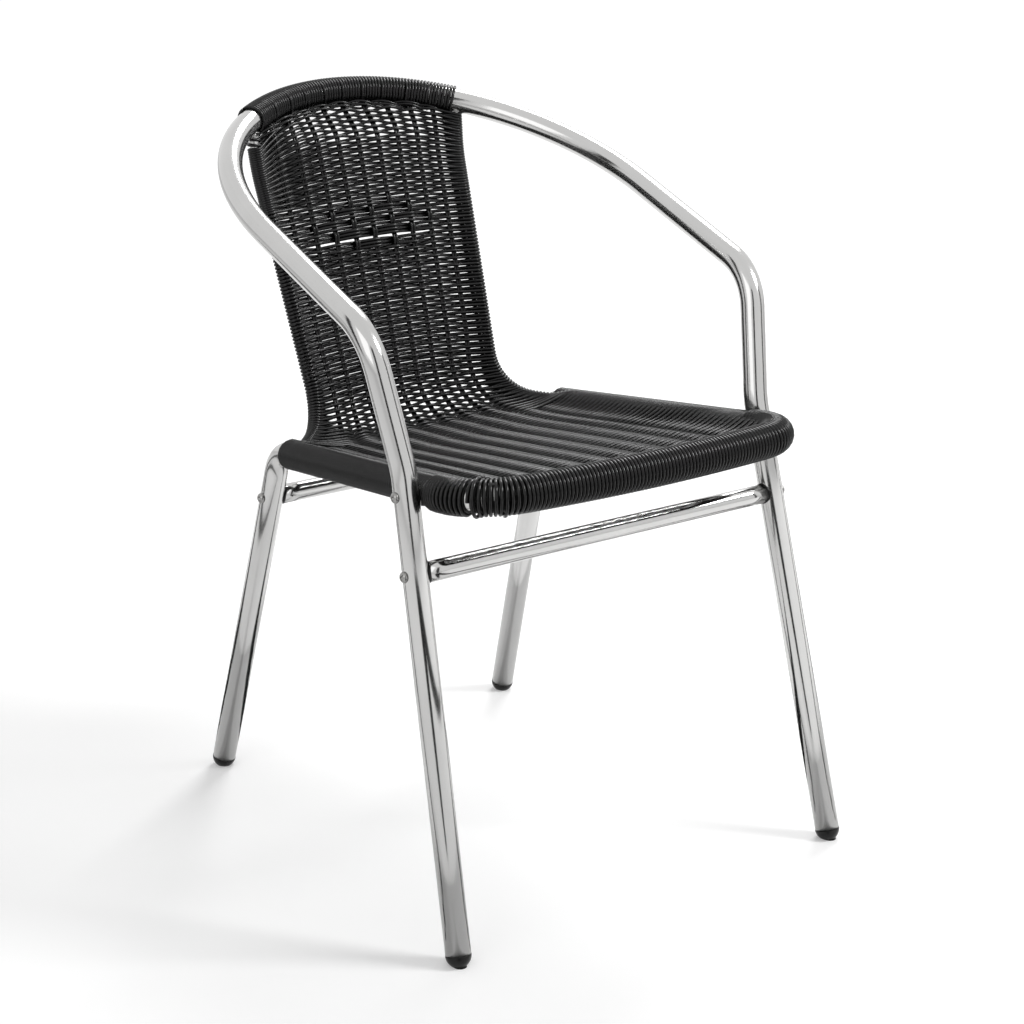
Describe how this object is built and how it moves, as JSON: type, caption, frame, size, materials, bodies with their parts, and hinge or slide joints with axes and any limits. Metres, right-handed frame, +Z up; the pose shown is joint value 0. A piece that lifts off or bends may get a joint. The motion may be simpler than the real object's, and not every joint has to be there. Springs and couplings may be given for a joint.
{
  "type": "bistro chair",
  "caption": "Stacking bistro armchair: bent tube arm hoop and seat frame bolted together, with a woven strand seat and back that run on as one sheet and tubes wound with strand.",
  "frame": {"origin": "on the floor under the middle of the chair's bounding box", "axes": "+Z up, the front of the seat faces -Y, +X to the right of the picture's front view, which is the sitter's left"},
  "size_m": [0.4934, 0.6022, 0.7428],
  "materials": {
    "tube": "bright polished and anodised aluminium tube",
    "screw": "zinc-plated button head screws and nuts",
    "strand": "round black plastic rattan strand with a soft satin sheen",
    "stake": "paired black plastic strands that the others are woven over",
    "plastic": "moulded black plastic"
  },
  "bodies": {
    "root": {"arm_hoop": "tube", "seat_frame": "tube", "front_stretcher": "tube", "rear_stretcher": "tube", "back_rod_right": "tube", "back_rod_left": "tube", "front_insert_right": "plastic", "front_insert_left": "plastic", "rear_insert_right": "plastic", "rear_insert_left": "plastic", "seat_screw_right": "screw", "seat_screw_left": "screw", "seat_nut_right": "screw", "seat_nut_left": "screw", "front_screw_right": "screw", "front_screw_left": "screw", "rear_screw_right": "screw", "rear_screw_left": "screw", "front_foot_plug_right": "plastic", "front_foot_plug_left": "plastic", "rear_foot_plug_right": "plastic", "rear_foot_plug_left": "plastic", "stake_1": "stake", "stake_2": "stake", "stake_3": "stake", "stake_4": "stake", "stake_5": "stake", "stake_6": "stake", "stake_7": "stake", "stake_8": "stake", "stake_9": "stake", "stake_10": "stake", "stake_11": "stake", "woven_back": "strand", "woven_seat": "strand", "hoop_wrap": "strand", "side_wrap_right": "strand", "side_wrap_left": "strand", "front_wrap": "strand"}
  },
  "joints": []
}
